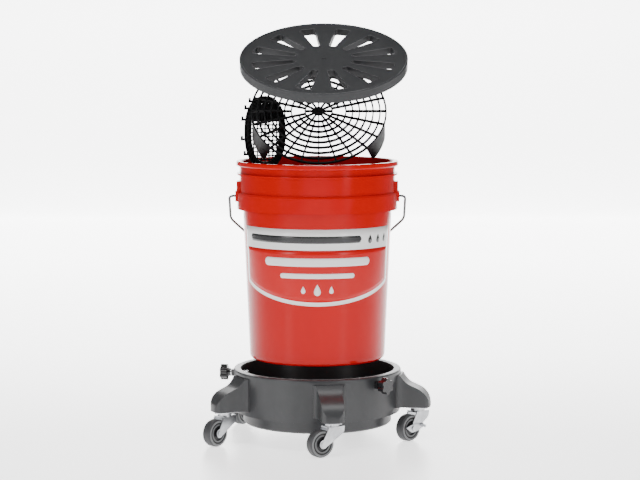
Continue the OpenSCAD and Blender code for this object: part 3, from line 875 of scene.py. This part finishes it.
def makeLabel():
    white = finish("labelWhite", (0.80, 0.80, 0.79), (0.86, 0.86, 0.85), (0.18, 0.28), 120, 0.03, coat=0.2)
    red = finish("labelRed", (0.50, 0.0005, 0.001), (0.56, 0.001, 0.0015), (0.2, 0.3), 120, 0.03, gloss=0.32)
    dark = finish("labelInk", (0.012, 0.012, 0.013), (0.02, 0.02, 0.021), (0.2, 0.3), 120, 0.03, coat=0.2)
    reach = math.radians(label["halfArc"]) * label["round"]
    edge, low, printed, raised = label["border"], label["lowSide"], label["printOut"], label["topOut"]

    def lower(s):
        return low - (low - label["lowMiddle"]) * math.cos(s / reach * math.pi / 2) ** 0.8

    panel = patch("labelPanel", -reach, reach, lower, lambda s: label["top"], label["panelOut"], white)
    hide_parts("bucket_label")
    patch("labelRedField", edge - reach, reach - edge, lambda s: lower(s) + edge, lambda s: label["redTop"],
          printed, red)
    bar("labelInkBar", -reach * 0.86, reach * 0.50, 233 * mm, 13 * mm, printed, dark)
    for i in range(3):
        drop("labelInkDrop_%d" % i, reach * (0.62 + 0.13 * i), 232 * mm, 6.5 * mm, printed, dark)
    bar("labelWhiteBarLong", -reach * 0.62, reach * 0.62, 192 * mm, 15 * mm, raised, white)
    bar("labelWhiteBarShort", -reach * 0.42, reach * 0.42, 167 * mm, 9 * mm, raised, white)
    for i, size in enumerate((5.5, 8.5, 5.5)):
        drop("labelWhiteDrop_%d" % i, (i - 1) * 26 * mm, 142 * mm, size * mm, raised, white)


makeLabel()
print("stage: label made")

# stage, lights and camera

view = {"distance": 3.8, "height": 0.75, "aim": (0.005, 0.37), "lens": 115.0, "sensor": 36.0, "far": 50,
        "floor": -0.033}
sweep = {"front": 9.0, "back": 4.6, "top": 3.6, "bend": 0.8, "bendSteps": 16, "half": 2.0,
         "tone": 0.92, "rough": 0.32, "glowFrom": -1.0, "glowTo": 3.0, "glowPower": 5.0,
         "glow": ((0.0, 0.26), (0.25, 0.32), (0.5, 0.65), (1.0, 1.0))}


def sweepMesh():
    mesh = bpy.data.meshes.new("studioFloor")
    outline = [(-sweep["front"], 0.0)]
    bend, steps = sweep["bend"], sweep["bendSteps"]
    for i in range(steps + 1):
        a = math.pi / 2 * i / steps
        outline.append((sweep["back"] + bend * math.sin(a), bend * (1 - math.cos(a))))
    outline.append((sweep["back"] + bend, sweep["top"]))
    sides = (-sweep["half"], sweep["half"])
    verts = [(x, y, z + view["floor"]) for y, z in outline for x in sides]
    faces = [(2 * i, 2 * i + 1, 2 * i + 3, 2 * i + 2) for i in range(len(outline) - 1)]
    mesh.from_pydata(verts, [], faces)
    for p in mesh.polygons:
        p.use_smooth = True
    return mesh


# The sweep glows more the further it is behind the object.
def sweepMaterial():
    mat = bpy.data.materials.new("paleFloor")
    mat.use_nodes = True
    tree = mat.node_tree
    shader = tree.nodes["Principled BSDF"]
    shader.inputs["Base Color"].default_value = opaque(sweep["tone"], sweep["tone"], sweep["tone"])
    shader.inputs["Emission Color"].default_value = opaque(1, 1, 1)
    shader.inputs["Roughness"].default_value = sweep["rough"]
    away = node(tree, "ShaderNodeSeparateXYZ")
    tree.links.new(node(tree, "ShaderNodeTexCoord").outputs["Object"], away.inputs[0])
    share = node(tree, "ShaderNodeMapRange")
    share.inputs["From Min"].default_value = sweep["glowFrom"]
    share.inputs["From Max"].default_value = sweep["glowTo"]
    tree.links.new(away.outputs["Y"], share.inputs["Value"])
    glow = ramp(tree, share.outputs["Result"], [(at, opaque(tone, tone, tone)) for at, tone in sweep["glow"]])
    power = node(tree, "ShaderNodeMath", operation="MULTIPLY")
    power.inputs[1].default_value = sweep["glowPower"]
    tree.links.new(glow, power.inputs[0])
    tree.links.new(power.outputs[0], shader.inputs["Emission Strength"])
    return mat


def aimAt(obj, spot, target):
    obj.location = spot
    obj.rotation_euler = (Vector(target) - Vector(spot)).to_track_quat("-Z", "Y").to_euler()


floorObj = bpy.data.objects.new("studioFloor", sweepMesh())
bpy.context.collection.objects.link(floorObj)
floorObj.data.materials.append(sweepMaterial())

camData = bpy.data.cameras.new("camera")
camData.lens = view["lens"]
camData.sensor_width = view["sensor"]
camData.clip_end = view["far"]
cam = bpy.data.objects.new("camera", camData)
bpy.context.collection.objects.link(cam)
aimX, aimZ = view["aim"]
aimAt(cam, (0.0, -view["distance"], view["height"] + view["floor"]), (aimX, 0.0, aimZ + view["floor"]))
bpy.context.scene.camera = cam


def softLight(name, spot, size, power):
    data = bpy.data.lights.new(name, "AREA")
    data.shape = "RECTANGLE"
    data.size, data.size_y = size
    data.energy = power
    obj = bpy.data.objects.new(name, data)
    bpy.context.collection.objects.link(obj)
    aimAt(obj, spot, (0, 0, 0.35))


softLight("keyLeft", (-2.4, -2.2, 1.5), (0.7, 2.2), 42)
softLight("fillRight", (2.2, -2.4, 1.4), (0.5, 2.2), 30)
softLight("topBox", (0, -0.6, 2.8), (1.8, 1.2), 42)

world = bpy.data.worlds.new("studioWorld")
world.use_nodes = True
background = world.node_tree.nodes["Background"]
background.inputs["Color"].default_value = opaque(1, 1, 1)
background.inputs["Strength"].default_value = 0.25
bpy.context.scene.world = world
print("stage: studio ready")
